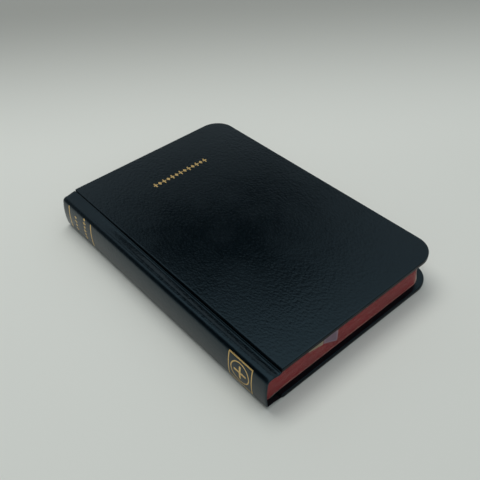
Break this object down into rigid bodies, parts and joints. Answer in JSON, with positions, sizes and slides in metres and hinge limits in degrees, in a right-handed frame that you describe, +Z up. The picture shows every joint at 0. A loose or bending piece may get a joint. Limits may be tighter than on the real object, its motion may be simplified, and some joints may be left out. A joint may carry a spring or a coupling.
{
  "type": "prayer book",
  "caption": "Small case-bound prayer book with rounded spine, red-stained page edges, gold-tooled cover, marker ribbons, hinged covers and turning leaves.",
  "frame": {"origin": "centre of the closed book's footprint, on the surface it lies on", "axes": "+X from spine to fore-edge, +Y from tail to head, +Z up out of the front cover"},
  "size_m": [0.1289, 0.19, 0.0233],
  "materials": {
    "leathercloth": "pebbled, semi-matt",
    "board": "matt",
    "card": "matt",
    "mull": "open weave",
    "endpaper": "matt",
    "pages": "matt, edges stained dark red",
    "thread": "waxed linen",
    "ribbon_gold": "satin",
    "ribbon_lilac": "satin",
    "gold_foil": "blocked foil"
  },
  "bodies": {
    "text_block": {"spine_cloth": "leathercloth", "spine_inlay": "card", "spine_lining": "card", "spine_mull": "mull", "sewing_thread": "thread", "section_01": "pages", "section_02": "pages", "section_03": "pages", "section_04": "pages", "section_05": "pages", "section_06": "pages", "section_07": "pages", "section_08": "pages", "section_09": "pages", "section_10": "pages", "section_11": "pages", "section_12": "pages", "ribbon_gold": "ribbon_gold", "ribbon_lilac": "ribbon_lilac", "spine_rules_foil": "gold_foil", "spine_ornament_foil": "gold_foil", "spine_emblem_foil": "gold_foil"},
    "front_cover": {"front_board": "board", "front_cloth": "leathercloth", "front_hinge_cloth": "mull", "front_pastedown": "endpaper", "title_foil": "gold_foil"},
    "back_cover": {"back_board": "board", "back_cloth": "leathercloth", "back_hinge_cloth": "mull", "back_pastedown": "endpaper"},
    "front_flyleaf": {"front_flyleaf": "endpaper"},
    "front_leaf_1": {"front_leaf_1": "pages"},
    "front_leaf_2": {"front_leaf_2": "pages"},
    "front_leaf_3": {"front_leaf_3": "pages"},
    "front_leaf_4": {"front_leaf_4": "pages"},
    "front_leaf_5": {"front_leaf_5": "pages"},
    "back_flyleaf": {"back_flyleaf": "endpaper"},
    "back_leaf_1": {"back_leaf_1": "pages"},
    "back_leaf_2": {"back_leaf_2": "pages"},
    "back_leaf_3": {"back_leaf_3": "pages"}
  },
  "joints": [
    {"name": "front_cover_hinge", "type": "hinge", "parent": "text_block", "child": "front_cover", "pos_m": [-0.05915, 0, 0.0217], "axis": [0, -1, 0], "range_deg": [0, 180]},
    {"name": "back_cover_hinge", "type": "hinge", "parent": "text_block", "child": "back_cover", "pos_m": [-0.05915, 0, 0.0016], "axis": [0, 1, 0], "range_deg": [0, 180]},
    {"name": "front_flyleaf_turn", "type": "hinge", "parent": "text_block", "child": "front_flyleaf", "pos_m": [-0.05225, 0, 0.0204], "axis": [0, -1, 0], "range_deg": [0, 160]},
    {"name": "front_leaf_1_turn", "type": "hinge", "parent": "text_block", "child": "front_leaf_1", "pos_m": [-0.05225, 0, 0.0204], "axis": [0, -1, 0], "range_deg": [0, 160]},
    {"name": "front_leaf_2_turn", "type": "hinge", "parent": "text_block", "child": "front_leaf_2", "pos_m": [-0.05225, 0, 0.0204], "axis": [0, -1, 0], "range_deg": [0, 160]},
    {"name": "front_leaf_3_turn", "type": "hinge", "parent": "text_block", "child": "front_leaf_3", "pos_m": [-0.05225, 0, 0.0204], "axis": [0, -1, 0], "range_deg": [0, 160]},
    {"name": "front_leaf_4_turn", "type": "hinge", "parent": "text_block", "child": "front_leaf_4", "pos_m": [-0.05225, 0, 0.0204], "axis": [0, -1, 0], "range_deg": [0, 160]},
    {"name": "front_leaf_5_turn", "type": "hinge", "parent": "text_block", "child": "front_leaf_5", "pos_m": [-0.05225, 0, 0.0204], "axis": [0, -1, 0], "range_deg": [0, 160]},
    {"name": "back_flyleaf_turn", "type": "hinge", "parent": "text_block", "child": "back_flyleaf", "pos_m": [-0.05225, 0, 0.0029], "axis": [0, 1, 0], "range_deg": [0, 160]},
    {"name": "back_leaf_1_turn", "type": "hinge", "parent": "text_block", "child": "back_leaf_1", "pos_m": [-0.05225, 0, 0.0029], "axis": [0, 1, 0], "range_deg": [0, 160]},
    {"name": "back_leaf_2_turn", "type": "hinge", "parent": "text_block", "child": "back_leaf_2", "pos_m": [-0.05225, 0, 0.0029], "axis": [0, 1, 0], "range_deg": [0, 160]},
    {"name": "back_leaf_3_turn", "type": "hinge", "parent": "text_block", "child": "back_leaf_3", "pos_m": [-0.05225, 0, 0.0029], "axis": [0, 1, 0], "range_deg": [0, 160]}
  ],
  "couplings": [
    {"joint": "front_flyleaf_turn", "follows": "front_cover_hinge", "ratio": 0.88},
    {"joint": "front_leaf_1_turn", "follows": "front_cover_hinge", "ratio": 0.82},
    {"joint": "front_leaf_2_turn", "follows": "front_cover_hinge", "ratio": 0.75},
    {"joint": "front_leaf_3_turn", "follows": "front_cover_hinge", "ratio": 0.5},
    {"joint": "front_leaf_4_turn", "follows": "front_cover_hinge", "ratio": 0.16},
    {"joint": "front_leaf_5_turn", "follows": "front_cover_hinge", "ratio": 0.07},
    {"joint": "back_flyleaf_turn", "follows": "back_cover_hinge", "ratio": 0.88},
    {"joint": "back_leaf_1_turn", "follows": "back_cover_hinge", "ratio": 0.8},
    {"joint": "back_leaf_2_turn", "follows": "back_cover_hinge", "ratio": 0.3},
    {"joint": "back_leaf_3_turn", "follows": "back_cover_hinge", "ratio": 0.12}
  ]
}
